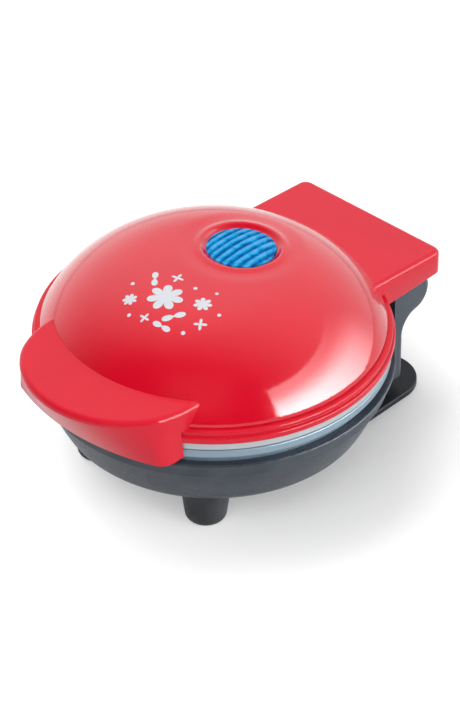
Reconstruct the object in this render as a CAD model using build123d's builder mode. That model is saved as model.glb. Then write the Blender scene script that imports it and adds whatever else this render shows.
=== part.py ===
from build123d import *
import os
from math import asin, atan2, cos, hypot, radians, sin, sqrt, tan

# Mini waffle maker. Sizes are in millimetres. While it is drawn, the upright axis of the
# round body is Z, the handle points to -Y and the hinge to +Y. The surface it stands on is Z 0.

# Fits, and margins of construction
seat_gap = 0.1
pin_clearance = 0.04
root_sink = 1.0
cut_margin = 1.0
soft_edge = 0.6

# Lid radius: the round body's other radii are set in from it
lid_radius = 63.5

# Base bowl
foot_height = 15.0
bowl_height = 24.8
bowl_rim_setback = 0.2
bowl_taper = 10.7
bowl_bulge = 0.9
bowl_wall = 2.2
bowl_floor = 2.2
bowl_corner_radius = 9.0
lip_height = 1.5
lip_reach = 0.7
ledge_depth = 1.8
ledge_width = 2.4
ledge_thickness = 1.9
vent_slot_length = 16.0
vent_slot_width = 2.6
vent_slot_pitch = 7.0
vent_slot_count = 5

# Hinge tower and its two ears
tower_half_width = 30.8
tower_reach = 4.1
tower_depth = 29.4
tower_drop = 5.4
tower_roof_drop = 5.8
tower_wall = 2.2
tower_edge_radius = 3.0
ear_thickness = 7.6
ear_radius = 8.3
ear_front_reach = 11.5
ear_slope = 1.0
ear_blend = 7.0
pin_setout = 9.4
pin_drop = 3.1
pin_radius = 2.0
pin_recess = 0.3
pin_cap = 1.6
pin_chamfer = 0.4

# Cord wrap plate under the tower, with its neck and pads
wrap_plate_top = 5.0
wrap_plate_thickness = 2.2
wrap_half_width = 35.0
wrap_reach = 11.3
wrap_length = 41.3
wrap_corner_radius = 14.0
wrap_front_radius = 8.0
neck_half_width = 23.0
neck_setback = 3.0
neck_depth = 17.0
neck_corner_radius = 5.0
wrap_screw_seat = 3.2
wrap_screw_grip = 6.8
rear_pad_radius = 6.0
rear_pad_recess = 0.6
rear_pad_spread = 24.0
rear_pad_inset = 11.3

# Front feet
foot_spread = 26.2
foot_forward = 32.1
foot_top_radius = 9.0
foot_tip_radius = 7.1
foot_tip_round = 3.0
foot_collar = 3.0
foot_screw_recess = 8.0
foot_boss_height = 6.0

# Cooking plates, one in the base and one in the lid, with their trim rings
plate_setback = 6.9
rim_width = 5.8
cooking_lean = 2.0
recess_depth = 7.5
plate_thickness = 3.0
flange_thickness = 1.5
pan_wall = 3.8
pan_lean = 1.6
stud_pitch = 12.0
stud_base = 8.0
stud_height = 5.0
stud_taper = 14.0
stud_margin = 2.3
trim_setback = 1.1
trim_height = 3.7
upper_trim_height = 3.2
trim_recess = 1.6
trim_bearing = 1.6
trim_spigot_setback = 0.5
trim_edge_radius = 0.3
parting_gap = 0.3

# Heating parts
boss_inset = 10.0
boss_radius = 4.0
boss_length = 9.8
boss_hole_root = 2.0
heater_inset = 13.0
heater_tube_radius = 3.2
heater_gap_angle = 44.0
heater_drop = 3.5
heater_pin_radius = 1.2
heater_pin_length = 6.0
heater_boss_width = 4.6
shield_thickness = 0.8
shield_flat_reach = 4.5
shield_rim_reach = 4.5
shield_rim_rise = 7.0
shield_notch_width = 16.0
carrier_setback = 1.0
lead_hole_radius = 4.0
lead_hole_inset = 16.0
thermostat_radius = 8.0
thermostat_height = 7.5
thermostat_flange = 1.0
thermostat_ear_length = 24.0
thermostat_ear_width = 9.6
thermostat_tab_reach = 5.0
thermostat_tab_width = 4.0
fuse_radius = 2.0
fuse_length = 12.0
fuse_setback = 13.0
fuse_lead_radius = 0.5
fuse_lead_reach = 6.0

# Screws
screw_radius = 1.4
screw_head_radius = 2.7
screw_head_height = 2.0
screw_head_play = 0.4
screw_tip_gap = 1.0
screw_grip = 6.0
drive_reach = 1.3
drive_width = 0.7
drive_depth = 1.0
base_screw_recess = 5.0
housing_boss_radius = 4.6

# Terminal block, heater leads and cord gland in the tower
terminal_width = 26.0
terminal_depth = 12.0
terminal_height = 8.0
terminal_back_gap = 3.0
terminal_ways = 3
terminal_corner_radius = 1.0
terminal_screw_grip = 4.0
lead_tunnel_radius = 1.5
lead_tunnel_rise = 2.4
lead_radius = 1.0
lead_stub = 2.6
lead_dip = 4.2
lead_bend_radius = 2.0
gland_rise = 9.9
gland_bore_radius = 3.3
gland_neck_radius = 5.0
gland_flange_radius = 6.6
gland_flange = 1.8
gland_reach = 7.0

# Lid frame: the rim band, the hinge block, its two lugs and the handle's tab
band_height = 2.3
bead_radius = 0.75
bead_setback = 1.5
frame_height = 4.6
frame_width = 6.5
block_half_width = 33.0
block_overhang = 11.5
block_depth = 38.4
block_drop = 1.1
block_back_height = 9.1
block_slope = 0.077
block_wall = 1.6
block_back_wall = 1.8
block_roof = 2.0
block_corner_radius = 3.5
block_edge_radius = 1.6
lug_side_gap = 1.0
lug_thickness = 6.5
lug_radius = 6.4
tab_half_width = 16.0
tab_thickness = 2.4
tab_reach = 3.7

# Lid dome
dome_setback = 2.7
dome_skirt = 1.2
dome_edge_angle = 26.7
crown_radius = 300.0
shoulder_radius = 44.0
dome_wall = 1.5

# Indicator lens, in a dimple of the dome behind its centre, and the lamp under it
lens_setback = 46.5
lens_radius = 12.3
lens_crown_radius = 60.0
lens_flange_width = 1.7
lens_flange = 1.2
lens_edge_rise = 0.5
rib_pitch = 3.1
rib_count = 7
rib_radius = 1.15
rib_sink = 0.75
rib_margin = 0.6
dimple_radius = 15.8
dimple_depth = 1.3
rim_ledge = 0.6
retainer_lip = 1.2
lamp_radius = 2.0
lamp_length = 11.0
lamp_tip_radius = 1.6
holder_width = 16.0
holder_depth = 8.0
holder_floor = 1.2
holder_corner_radius = 1.0

# Handle
handle_half_width = 35.6
handle_reach = 15.7
handle_rise = 8.4
handle_drop = 5.6
handle_lower_reach = 5.5
handle_lower_corner = 6.4
handle_lower_side = 5.6
handle_side_inset = 2.9
handle_split_angle = 55.0
handle_root_depth = 22.0
handle_wall = 2.2
handle_edge_radius = 2.0
handle_post_radius = 3.0
handle_post_spread = 13.0
handle_post_setout = 1.7
handle_screw_grip = 8.0
handle_screw_head = 2.1

# Radii of the round body
bowl_rim_radius = lid_radius - bowl_rim_setback
bowl_base_radius = bowl_rim_radius - bowl_taper
plate_radius = lid_radius - plate_setback
cooking_radius = plate_radius - rim_width
cooking_floor_radius = cooking_radius - cooking_lean
pan_top_radius = cooking_radius + pan_wall
pan_base_radius = pan_top_radius - pan_lean
stud_field_radius = cooking_floor_radius - stud_margin
trim_radius = lid_radius - trim_setback
trim_inner_radius = plate_radius - trim_bearing
trim_spigot_radius = bowl_rim_radius - bowl_wall - trim_spigot_setback
boss_circle_radius = pan_base_radius - boss_inset
heater_ring_radius = boss_circle_radius - heater_inset
shield_flat_radius = boss_circle_radius + shield_flat_reach
shield_rim_radius = shield_flat_radius + shield_rim_reach
frame_inner_radius = lid_radius - frame_width
dome_edge_radius = lid_radius - dome_setback
fuse_offset = heater_ring_radius - fuse_setback

# Heights, from the floor up
bowl_bottom_z = foot_height
bowl_rim_z = bowl_bottom_z + bowl_height
lower_ring_bottom = bowl_rim_z - ledge_depth
lower_band_bottom = bowl_rim_z + trim_recess
lower_face = lower_band_bottom + trim_height
upper_face = lower_face + parting_gap
frame_bottom = upper_face + upper_trim_height
frame_top = frame_bottom + frame_height
lower_plate_base = lower_face - recess_depth - plate_thickness
upper_plate_base = upper_face + recess_depth + plate_thickness
lower_shield_z = lower_plate_base - boss_length
upper_shield_z = upper_plate_base + boss_length
lower_shield_bottom = lower_shield_z - shield_thickness
carrier_top = upper_shield_z + shield_thickness
tower_bottom = bowl_bottom_z - tower_drop
tower_roof = bowl_rim_z - tower_roof_drop
tower_floor_z = tower_bottom + tower_wall
pin_height = lower_face - pin_drop
gland_height = tower_bottom + gland_rise
wrap_bottom = wrap_plate_top - wrap_plate_thickness
block_bottom = frame_bottom - block_drop
block_top_back = block_bottom + block_back_height
block_top_front = block_top_back + block_slope * block_depth
handle_top = frame_top + handle_rise
handle_bottom = frame_bottom - handle_drop

# Places along the length, measured from the round body's axis
tower_back = bowl_rim_radius + tower_reach
tower_front = tower_back - tower_depth
tower_inner_back = tower_back - tower_wall
pin_back = lid_radius + pin_setout
wrap_back = tower_back + wrap_reach
wrap_front = wrap_back - wrap_length
neck_front = tower_front + neck_setback
neck_back = neck_front + neck_depth
rear_pad_back = wrap_back - rear_pad_inset
terminal_y = tower_inner_back - terminal_back_gap - terminal_depth / 2
block_back = pin_back + block_overhang
block_front = block_back - block_depth
handle_front = lid_radius + handle_reach
handle_lower_front = lid_radius + handle_lower_reach
handle_root = lid_radius - handle_root_depth
handle_post_forward = lid_radius + handle_post_setout
ear_inner = tower_half_width - ear_thickness
lug_outer = ear_inner - lug_side_gap
lug_inner = lug_outer - lug_thickness
lens_flange_radius = lens_radius + lens_flange_width
lens_back = dome_edge_radius - lens_setback

# Dome arcs: the crown arc is centred on the axis, and the shoulder arc is tangent inside it
dome_edge_z = frame_top + dome_skirt
shoulder_centre_radius = dome_edge_radius - shoulder_radius * cos(radians(dome_edge_angle))
shoulder_centre_z = dome_edge_z - shoulder_radius * sin(radians(dome_edge_angle))
shoulder_lean = shoulder_centre_radius / (crown_radius - shoulder_radius)
crown_centre_z = shoulder_centre_z - (crown_radius - shoulder_radius) * sqrt(1 - shoulder_lean**2)

# Handle wall: drawn up to a sharp corner, so that its rounded top edge reaches the handle's front
edge_forward = handle_front - handle_edge_radius - handle_lower_front
edge_rise = handle_top - handle_edge_radius - handle_bottom
wall_angle = atan2(edge_rise, edge_forward) - asin(handle_edge_radius / hypot(edge_rise, edge_forward))
handle_corner = handle_lower_front + (handle_top - handle_bottom) / tan(wall_angle)
handle_centre = handle_corner - handle_half_width

# Places of the fasteners and the feet
boss_places = [
    (boss_circle_radius * cos(radians(angle)), boss_circle_radius * sin(radians(angle)))
    for angle in (-90, 30, 150)
]
post_places = [(-handle_post_spread, -handle_post_forward), (handle_post_spread, -handle_post_forward)]
foot_places = [(-foot_spread, -foot_forward), (foot_spread, -foot_forward)]
wrap_screw_places = [
    (side * (neck_half_width - neck_corner_radius), y)
    for side in (-1, 1)
    for y in (neck_front + neck_corner_radius, neck_back - neck_corner_radius)
]
terminal_pitch = terminal_width / terminal_ways
terminal_columns = [(way - (terminal_ways - 1) / 2) * terminal_pitch for way in range(terminal_ways)]


def dome_z(radius):
    """Height of the dome's outer face at a distance from the axis."""
    if radius < crown_radius * shoulder_lean:
        return crown_centre_z + sqrt(crown_radius**2 - radius**2)
    return shoulder_centre_z + sqrt(shoulder_radius**2 - (radius - shoulder_centre_radius) ** 2)


def dome_section(inset, bottom_z):
    """Half of the dome's section, set in from its outer face, down to a flat bottom."""
    crown = crown_radius - inset
    shoulder = shoulder_radius - inset
    edge_radius = dome_edge_radius - inset
    meet_x = crown * shoulder_lean
    meet_z = crown_centre_z + crown * sqrt(1 - shoulder_lean**2)
    edge_z = shoulder_centre_z + sqrt(shoulder**2 - (edge_radius - shoulder_centre_radius) ** 2)
    with BuildSketch(Plane.XZ) as section:
        with BuildLine():
            crown_arc = RadiusArc((0, crown_centre_z + crown), (meet_x, meet_z), crown)
            shoulder_arc = RadiusArc(crown_arc @ 1, (edge_radius, edge_z), shoulder)
            Polyline(shoulder_arc @ 1, (edge_radius, bottom_z), (0, bottom_z), crown_arc @ 0)
        make_face()
    return section.sketch


def bowl_section(inset, floor_z):
    """Half of the bowl's section, set in from its outer face, up to its rim."""
    foot = bowl_base_radius - inset
    rim = bowl_rim_radius - inset
    middle = ((foot + rim) / 2 + bowl_bulge, (floor_z + bowl_rim_z) / 2)
    with BuildSketch(Plane.XZ) as section:
        with BuildLine():
            Polyline((rim, bowl_rim_z), (0, bowl_rim_z), (0, floor_z), (foot, floor_z))
            ThreePointArc((foot, floor_z), middle, (rim, bowl_rim_z))
        make_face()
        corner = section.vertices().group_by(Axis.Y)[0].sort_by(Axis.X)[-1]
        fillet(corner, radius=bowl_corner_radius - inset)
    return section.sketch


def outline(plane, *points):
    """A closed outline with straight sides, on a plane."""
    with BuildSketch(plane) as section:
        with BuildLine():
            Polyline(*points, close=True)
        make_face()
    return section.sketch


def discs(z, places, radius):
    """Equal discs at one height, for bosses and for the holes through them."""
    with BuildSketch(Plane.XY.offset(z)) as group:
        with Locations(*places):
            Circle(radius)
    return group.sketch


def screws(places, head_z, direction, grip, head_radius=screw_head_radius):
    """A group of pan head screws whose heads bear at head_z, with their shanks along Z."""
    top_z = head_z - direction * screw_head_height
    with BuildPart() as group:
        extrude(discs(head_z, places, head_radius), amount=-direction * screw_head_height)
        extrude(discs(head_z, places, screw_radius), amount=direction * grip)
        with BuildSketch(Plane.XY.offset(top_z)):
            with Locations(*places):
                Rectangle(head_radius * drive_reach, drive_width)
                Rectangle(drive_width, head_radius * drive_reach)
        extrude(amount=direction * drive_depth, mode=Mode.SUBTRACT)
    return group


def cross_disc(y, z, radius):
    """A disc in the middle plane, from which round parts along X are drawn both ways."""
    with BuildSketch(Plane.YZ) as section:
        with Locations((y, z)):
            Circle(radius)
    return section.sketch


# Base housing: the bowl, the hollow tower behind it and the two ears that hold the hinge pin
shelf_outer = bowl_rim_radius - bowl_wall / 2
shelf_inner = bowl_rim_radius - bowl_wall - ledge_width
shelf_bottom = lower_ring_bottom - ledge_thickness
ear_front = pin_back - ear_front_reach
ear_root = tower_roof - tower_wall
ear_foot = pin_height - ear_radius - ear_blend - tower_edge_radius
boss_root_z = bowl_bottom_z + bowl_floor / 2
with BuildPart() as base_housing:
    revolve(bowl_section(0, bowl_bottom_z), axis=Axis.Z)
    with BuildSketch(Plane.XZ) as lip_section:
        with Locations((bowl_rim_radius - lip_height / 2, bowl_rim_z - lip_height / 2)):
            Rectangle(lip_height + 2 * lip_reach, lip_height)
        fillet(lip_section.vertices().group_by(Axis.X)[-1], radius=soft_edge)
    revolve(axis=Axis.Z)
    tower_outline = outline(
        Plane.YZ,
        (tower_front, tower_bottom),
        (tower_back, tower_bottom),
        (tower_back, tower_roof),
        (tower_front, tower_roof),
    )
    extrude(tower_outline, amount=tower_half_width, both=True)
    for side in (-1, 1):
        with BuildSketch(Plane.YZ.offset(side * ear_inner)) as ear_outline:
            with BuildLine():
                Polyline(
                    (ear_front, ear_root),
                    (tower_inner_back, ear_root),
                    (tower_inner_back, ear_foot),
                    (tower_back, ear_foot),
                    (tower_back, pin_height),
                    (pin_back, pin_height),
                    (pin_back, pin_height + ear_radius),
                    (ear_front + tower_edge_radius, pin_height + ear_radius - ear_slope),
                    (ear_front, pin_height + tower_edge_radius),
                    close=True,
                )
            make_face()
            with Locations((pin_back, pin_height)):
                Circle(ear_radius)
            crook_height = sqrt(ear_radius**2 - (pin_back - tower_back) ** 2)
            crook = (tower_back, pin_height - crook_height)
            fillet(ear_outline.vertices().sort_by_distance(crook)[0], radius=ear_blend)
        extrude(amount=side * ear_thickness)
    outer_faces = base_housing.faces().filter_by(Axis.X).sort_by(Axis.X)
    rear_edges = [
        edge
        for face in (outer_faces[0], outer_faces[-1])
        for edge in face.edges()
        if edge.center().Y > tower_back - tower_wall / 2
    ]
    fillet(rear_edges, radius=tower_edge_radius)
    revolve(bowl_section(bowl_wall, bowl_bottom_z + bowl_floor), axis=Axis.Z, mode=Mode.SUBTRACT)
    tower_hollow = outline(
        Plane.YZ,
        (tower_front + tower_wall, tower_floor_z),
        (tower_inner_back, tower_floor_z),
        (tower_inner_back, tower_roof - tower_wall),
        (tower_front + tower_wall, tower_roof - tower_wall),
    )
    extrude(tower_hollow, amount=tower_half_width - tower_wall, both=True, mode=Mode.SUBTRACT)
    shelf = outline(
        Plane.XZ,
        (shelf_outer, lower_ring_bottom),
        (shelf_inner, lower_ring_bottom),
        (shelf_inner, shelf_bottom),
        (shelf_outer, shelf_bottom - ledge_width),
    )
    revolve(shelf, axis=Axis.Z)
    with BuildSketch(Plane.XY.offset(lower_ring_bottom)):
        Circle(trim_spigot_radius + seat_gap)
    extrude(amount=ledge_depth, mode=Mode.SUBTRACT)
    extrude(discs(boss_root_z, boss_places, housing_boss_radius), amount=lower_shield_bottom - boss_root_z)
    foot_boss_rise = foot_boss_height - bowl_floor / 2
    extrude(discs(boss_root_z, foot_places, housing_boss_radius), amount=foot_boss_rise)
    screw_recess = discs(bowl_bottom_z, boss_places, screw_head_radius + screw_head_play)
    extrude(screw_recess, amount=base_screw_recess, mode=Mode.SUBTRACT)
    base_screw_holes = discs(bowl_bottom_z, boss_places, screw_radius + pin_clearance)
    extrude(base_screw_holes, amount=lower_shield_bottom - bowl_bottom_z, mode=Mode.SUBTRACT)
    foot_screw_holes = discs(bowl_bottom_z, foot_places, screw_radius + pin_clearance)
    extrude(foot_screw_holes, amount=foot_boss_height, mode=Mode.SUBTRACT)
    with BuildSketch(Plane.XY.offset(bowl_bottom_z)):
        with GridLocations(0, vent_slot_pitch, 1, vent_slot_count):
            SlotOverall(vent_slot_length, vent_slot_width)
    extrude(amount=bowl_floor, mode=Mode.SUBTRACT)
    with BuildSketch(Plane.XZ.offset(-tower_back)):
        with Locations((0, gland_height)):
            Circle(gland_neck_radius + seat_gap)
    extrude(amount=tower_wall, mode=Mode.SUBTRACT)
    pin_bore = cross_disc(pin_back, pin_height, pin_radius + pin_clearance / 2)
    for reach in (tower_half_width - pin_cap, -tower_half_width):
        extrude(pin_bore, amount=reach, mode=Mode.SUBTRACT)
    wrap_screw_holes = discs(tower_bottom, wrap_screw_places, screw_radius + pin_clearance)
    extrude(wrap_screw_holes, amount=tower_wall, mode=Mode.SUBTRACT)

# Lower trim ring: a visible band above a narrower spigot, which stands on the bowl's shelf
with BuildPart() as lower_trim_ring:
    revolve(
        outline(
            Plane.XZ,
            (trim_inner_radius, lower_ring_bottom),
            (trim_spigot_radius, lower_ring_bottom),
            (trim_spigot_radius, lower_band_bottom),
            (trim_radius, lower_band_bottom),
            (trim_radius, lower_face),
            (plate_radius + seat_gap, lower_face),
            (plate_radius + seat_gap, lower_face - flange_thickness),
            (trim_inner_radius, lower_face - flange_thickness),
        ),
        axis=Axis.Z,
    )
    top_edges = lower_trim_ring.edges().filter_by(GeomType.CIRCLE).group_by(Axis.Z)[-1]
    fillet(top_edges.sort_by(SortBy.RADIUS)[-1], radius=trim_edge_radius)

# Upper trim ring: the same band turned over, clamped under the lid frame by the plate's flange
with BuildPart() as upper_trim_ring:
    revolve(
        outline(
            Plane.XZ,
            (trim_inner_radius, frame_bottom),
            (trim_radius, frame_bottom),
            (trim_radius, upper_face),
            (plate_radius + seat_gap, upper_face),
            (plate_radius + seat_gap, upper_face + flange_thickness),
            (trim_inner_radius, upper_face + flange_thickness),
        ),
        axis=Axis.Z,
    )
    bottom_edges = upper_trim_ring.edges().filter_by(GeomType.CIRCLE).group_by(Axis.Z)[0]
    fillet(bottom_edges.sort_by(SortBy.RADIUS)[-1], radius=trim_edge_radius)


def cooking_plate(face_z, side):
    """A waffle plate whose rim lies at face_z and whose pan goes to side -1, down, or +1, up."""
    floor_z = face_z + side * recess_depth
    base_z = floor_z + side * plate_thickness
    flange_z = face_z + side * flange_thickness
    groove_z = base_z + side * heater_drop
    boss_end_z = base_z + side * boss_length
    with BuildPart() as plate:
        revolve(
            outline(
                Plane.XZ,
                (0, base_z),
                (pan_base_radius, base_z),
                (pan_top_radius, flange_z),
                (plate_radius, flange_z),
                (plate_radius, face_z),
                (cooking_radius, face_z),
                (cooking_floor_radius, floor_z),
                (0, floor_z),
            ),
            axis=Axis.Z,
        )
        reach = stud_field_radius - stud_base * sqrt(0.5)
        steps = int(reach / stud_pitch)
        columns = [step * stud_pitch for step in range(-steps, steps + 1)]
        stud_places = [(x, y) for x in columns for y in columns if x * x + y * y < reach * reach]
        with BuildSketch(Plane.XY.offset(floor_z)):
            with Locations(*stud_places):
                Rectangle(stud_base, stud_base)
        extrude(amount=-side * stud_height, taper=stud_taper)
        extrude(discs(base_z, boss_places, boss_radius), amount=side * boss_length)
        with BuildSketch(Plane.XY.offset(base_z)):
            Circle(heater_ring_radius + heater_boss_width)
            Circle(heater_ring_radius - heater_boss_width, mode=Mode.SUBTRACT)
        extrude(amount=side * heater_drop)
        with BuildSketch(Plane.XZ):
            with Locations((heater_ring_radius, groove_z)):
                Circle(heater_tube_radius + seat_gap)
        revolve(axis=Axis.Z, mode=Mode.SUBTRACT)
        boss_holes = discs(boss_end_z, boss_places, screw_radius + pin_clearance)
        extrude(boss_holes, amount=-side * (boss_length - boss_hole_root), mode=Mode.SUBTRACT)
    return plate


lower_cooking_plate = cooking_plate(lower_face, -1)
upper_cooking_plate = cooking_plate(upper_face, 1)


def heater_end(side, tube_z):
    """One end of the heating ring: its place, and the direction of its pin across the gap."""
    angle = radians(90 - side * heater_gap_angle / 2)
    place = Vector(heater_ring_radius * cos(angle), heater_ring_radius * sin(angle), tube_z)
    return place, Vector(-side * sin(angle), side * cos(angle), 0)


def heater(tube_z):
    """An open ring of sheathed heating tube, its gap towards the hinge, with two end pins."""
    start, way = heater_end(-1, tube_z)
    first_section = Plane(origin=start, x_dir=(start.X, start.Y, 0), z_dir=-way)
    with BuildPart() as element:
        with BuildSketch(first_section):
            Circle(heater_tube_radius)
        revolve(axis=Axis.Z, revolution_arc=360 - heater_gap_angle)
        for side in (-1, 1):
            end, way = heater_end(side, tube_z)
            with BuildSketch(Plane(origin=end, z_dir=way)):
                Circle(heater_pin_radius)
            extrude(amount=heater_pin_length)
    return element


lower_tube_z = lower_plate_base - heater_drop
lower_heater = heater(lower_tube_z)
upper_heater = heater(upper_plate_base + heater_drop)

# Lower heat shield: a thin dish on the housing's bosses, with a notch for the leads
shield_rim_z = lower_shield_bottom + shield_rim_rise
with BuildPart() as lower_heat_shield:
    revolve(
        outline(
            Plane.XZ,
            (0, lower_shield_bottom),
            (shield_flat_radius, lower_shield_bottom),
            (shield_rim_radius, shield_rim_z),
            (shield_rim_radius - shield_thickness, shield_rim_z),
            (shield_flat_radius - shield_thickness / 2, lower_shield_z),
            (0, lower_shield_z),
        ),
        axis=Axis.Z,
    )
    with BuildSketch(Plane.XY.offset(lower_shield_bottom)):
        with Locations(*boss_places):
            Circle(screw_radius + screw_head_play)
        with Locations((0, shield_rim_radius)):
            Rectangle(shield_notch_width, shield_notch_width)
    extrude(amount=shield_rim_rise, mode=Mode.SUBTRACT)

base_screw_head_z = bowl_bottom_z + base_screw_recess
base_screw_tip_z = lower_plate_base - boss_hole_root - screw_tip_gap
base_screws = screws(boss_places, base_screw_head_z, 1, base_screw_tip_z - base_screw_head_z)

# Bimetal thermostat, flat against the underside of the lower plate, with its two ears and tabs
with BuildPart() as thermostat:
    with BuildSketch(Plane.XY.offset(lower_plate_base)):
        SlotOverall(thermostat_ear_length, thermostat_ear_width)
    extrude(amount=-thermostat_flange)
    with BuildSketch(Plane.XY.offset(lower_plate_base)):
        Circle(thermostat_radius)
    extrude(amount=-thermostat_height)
    fillet(thermostat.faces().sort_by(Axis.Z)[0].edges(), radius=soft_edge)
    with BuildSketch(Plane.XY.offset(lower_plate_base - thermostat_height / 2)):
        Rectangle((thermostat_radius + thermostat_tab_reach) * 2, thermostat_tab_width)
    extrude(amount=-thermostat_flange)

fuse_z = lower_plate_base - fuse_radius - seat_gap
with BuildPart() as thermal_fuse:
    extrude(cross_disc(-fuse_offset, fuse_z, fuse_radius), amount=fuse_length / 2, both=True)
    fuse_lead = cross_disc(-fuse_offset, fuse_z, fuse_lead_radius)
    extrude(fuse_lead, amount=fuse_length / 2 + fuse_lead_reach, both=True)

# Terminal block on the tower's floor: a screw in a counterbore and a lead tunnel for each way
terminal_top = tower_floor_z + terminal_height
lead_tunnel_z = tower_floor_z + lead_tunnel_rise
terminal_screw_places = [(x, terminal_y) for x in terminal_columns]
with BuildPart() as terminal_block:
    with BuildSketch(Plane.XY.offset(tower_floor_z)):
        with Locations((0, terminal_y)):
            RectangleRounded(terminal_width, terminal_depth, terminal_corner_radius)
    extrude(amount=terminal_height)
    counterbores = discs(terminal_top, terminal_screw_places, screw_head_radius + screw_head_play)
    extrude(counterbores, amount=-screw_head_height, mode=Mode.SUBTRACT)
    screw_bores = discs(terminal_top - screw_head_height, terminal_screw_places, screw_radius + pin_clearance)
    extrude(screw_bores, amount=-terminal_screw_grip, mode=Mode.SUBTRACT)
    with BuildSketch(Plane.XZ.offset(-terminal_y)):
        with Locations(*[(x, lead_tunnel_z) for x in terminal_columns]):
            Circle(lead_tunnel_radius)
    extrude(amount=terminal_depth, both=True, mode=Mode.SUBTRACT)

terminal_screw_shank = terminal_height - screw_head_height - lead_tunnel_rise - lead_tunnel_radius
terminal_screws = screws(terminal_screw_places, terminal_top - screw_head_height, -1, terminal_screw_shank)

# Heater leads: from the ring's pins, down through the shield's notch, into the terminal block
lead_drop_y = terminal_y - terminal_depth / 2 - lead_bend_radius - lead_radius
with BuildPart() as heater_leads:
    for side in (-1, 1):
        end, way = heater_end(side, lower_tube_z)
        pin_end = end + way * heater_pin_length
        stub_end = pin_end + way * lead_stub
        run_z = lower_tube_z - lead_dip
        with BuildLine() as lead_route:
            FilletPolyline(
                pin_end,
                stub_end,
                (stub_end.X, stub_end.Y, run_z),
                (stub_end.X, lead_drop_y, run_z),
                (side * terminal_pitch, lead_drop_y, lead_tunnel_z),
                (side * terminal_pitch, terminal_y, lead_tunnel_z),
                radius=lead_bend_radius,
            )
        with BuildSketch(Plane(origin=pin_end, z_dir=way)):
            Circle(lead_radius)
        sweep(path=lead_route.line)

# Cord gland: a bush through the tower's back wall, with a flange each side
with BuildPart() as cord_gland:
    revolve(
        outline(
            Plane.YZ,
            (tower_inner_back - gland_flange, gland_height + gland_bore_radius),
            (tower_inner_back - gland_flange, gland_height + gland_flange_radius),
            (tower_inner_back, gland_height + gland_flange_radius),
            (tower_inner_back, gland_height + gland_neck_radius),
            (tower_back, gland_height + gland_neck_radius),
            (tower_back, gland_height + gland_flange_radius),
            (tower_back + gland_flange, gland_height + gland_flange_radius),
            (tower_back + gland_reach, gland_height + gland_neck_radius),
            (tower_back + gland_reach, gland_height + gland_bore_radius),
        ),
        axis=Axis((0, 0, gland_height), (0, 1, 0)),
    )

# Hinge pin: goes in from the left ear, and its other end stops inside the right ear
with BuildPart() as hinge_pin:
    for reach in (tower_half_width - pin_cap - pin_recess, pin_recess - tower_half_width):
        extrude(cross_disc(pin_back, pin_height, pin_radius), amount=reach)
    chamfer(hinge_pin.edges().filter_by(GeomType.CIRCLE), length=pin_chamfer)

# Cord wrap plate: the flat foot behind the base, with its neck, screw holes and pad recesses
rear_pad_places = [(-rear_pad_spread, rear_pad_back), (rear_pad_spread, rear_pad_back)]
with BuildPart() as cord_wrap_plate:
    with BuildSketch(Plane.XY.offset(wrap_bottom)) as wrap_outline:
        with Locations((0, (wrap_front + wrap_back) / 2)):
            Rectangle(wrap_half_width * 2, wrap_length)
        fillet(wrap_outline.vertices().group_by(Axis.Y)[-1], radius=wrap_corner_radius)
        fillet(wrap_outline.vertices().group_by(Axis.Y)[0], radius=wrap_front_radius)
    extrude(amount=wrap_plate_thickness)
    fillet(cord_wrap_plate.faces().sort_by(Axis.Z)[-1].edges(), radius=soft_edge)
    with BuildSketch(Plane.XY.offset(wrap_plate_top - root_sink)):
        with Locations((0, (neck_front + neck_back) / 2)):
            RectangleRounded(neck_half_width * 2, neck_depth, neck_corner_radius)
    extrude(amount=tower_bottom - wrap_plate_top + root_sink)
    head_recess = discs(wrap_bottom, wrap_screw_places, screw_head_radius + screw_head_play)
    extrude(head_recess, amount=wrap_screw_seat, mode=Mode.SUBTRACT)
    shank_holes = discs(wrap_bottom, wrap_screw_places, screw_radius + pin_clearance)
    extrude(shank_holes, amount=tower_bottom - wrap_bottom, mode=Mode.SUBTRACT)
    pad_recess = discs(wrap_bottom, rear_pad_places, rear_pad_radius + seat_gap)
    extrude(pad_recess, amount=rear_pad_recess, mode=Mode.SUBTRACT)

cord_wrap_screws = screws(wrap_screw_places, wrap_bottom + wrap_screw_seat, 1, wrap_screw_grip)


def rear_foot(place):
    """A round rubber pad in its recess under the cord wrap plate."""
    with BuildPart() as pad:
        extrude(discs(0, [place], rear_pad_radius), amount=wrap_bottom + rear_pad_recess)
        fillet(pad.faces().sort_by(Axis.Z)[0].edges(), radius=soft_edge)
    return pad


def front_foot(place):
    """A tapered foot with a rounded tip, fitted to the bowl and screwed to it from below."""
    recess_radius = screw_head_radius + screw_head_play
    hole_radius = screw_radius + pin_clearance
    with BuildPart() as foot:
        with BuildSketch(Plane(origin=(*place, 0), x_dir=(1, 0, 0), z_dir=(0, -1, 0))) as half:
            with BuildLine():
                Polyline(
                    (recess_radius, 0),
                    (foot_tip_radius, 0),
                    (foot_top_radius, foot_height),
                    (foot_top_radius, foot_height + foot_collar),
                    (hole_radius, foot_height + foot_collar),
                    (hole_radius, foot_screw_recess),
                    (recess_radius, foot_screw_recess),
                    close=True,
                )
            make_face()
            tip = half.vertices().sort_by_distance((foot_tip_radius, 0))[0]
            fillet(tip, radius=foot_tip_round)
        revolve(axis=Axis((*place, 0), (0, 0, 1)))
        revolve(bowl_section(-seat_gap, bowl_bottom_z), axis=Axis.Z, mode=Mode.SUBTRACT)
    return foot


front_foot_left, front_foot_right = [front_foot(place) for place in foot_places]
rear_foot_left, rear_foot_right = [rear_foot(place) for place in rear_pad_places]
foot_screw_tip_z = foot_height + foot_boss_height - screw_tip_gap
foot_screws = screws(foot_places, foot_screw_recess, 1, foot_screw_tip_z - foot_screw_recess)

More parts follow.
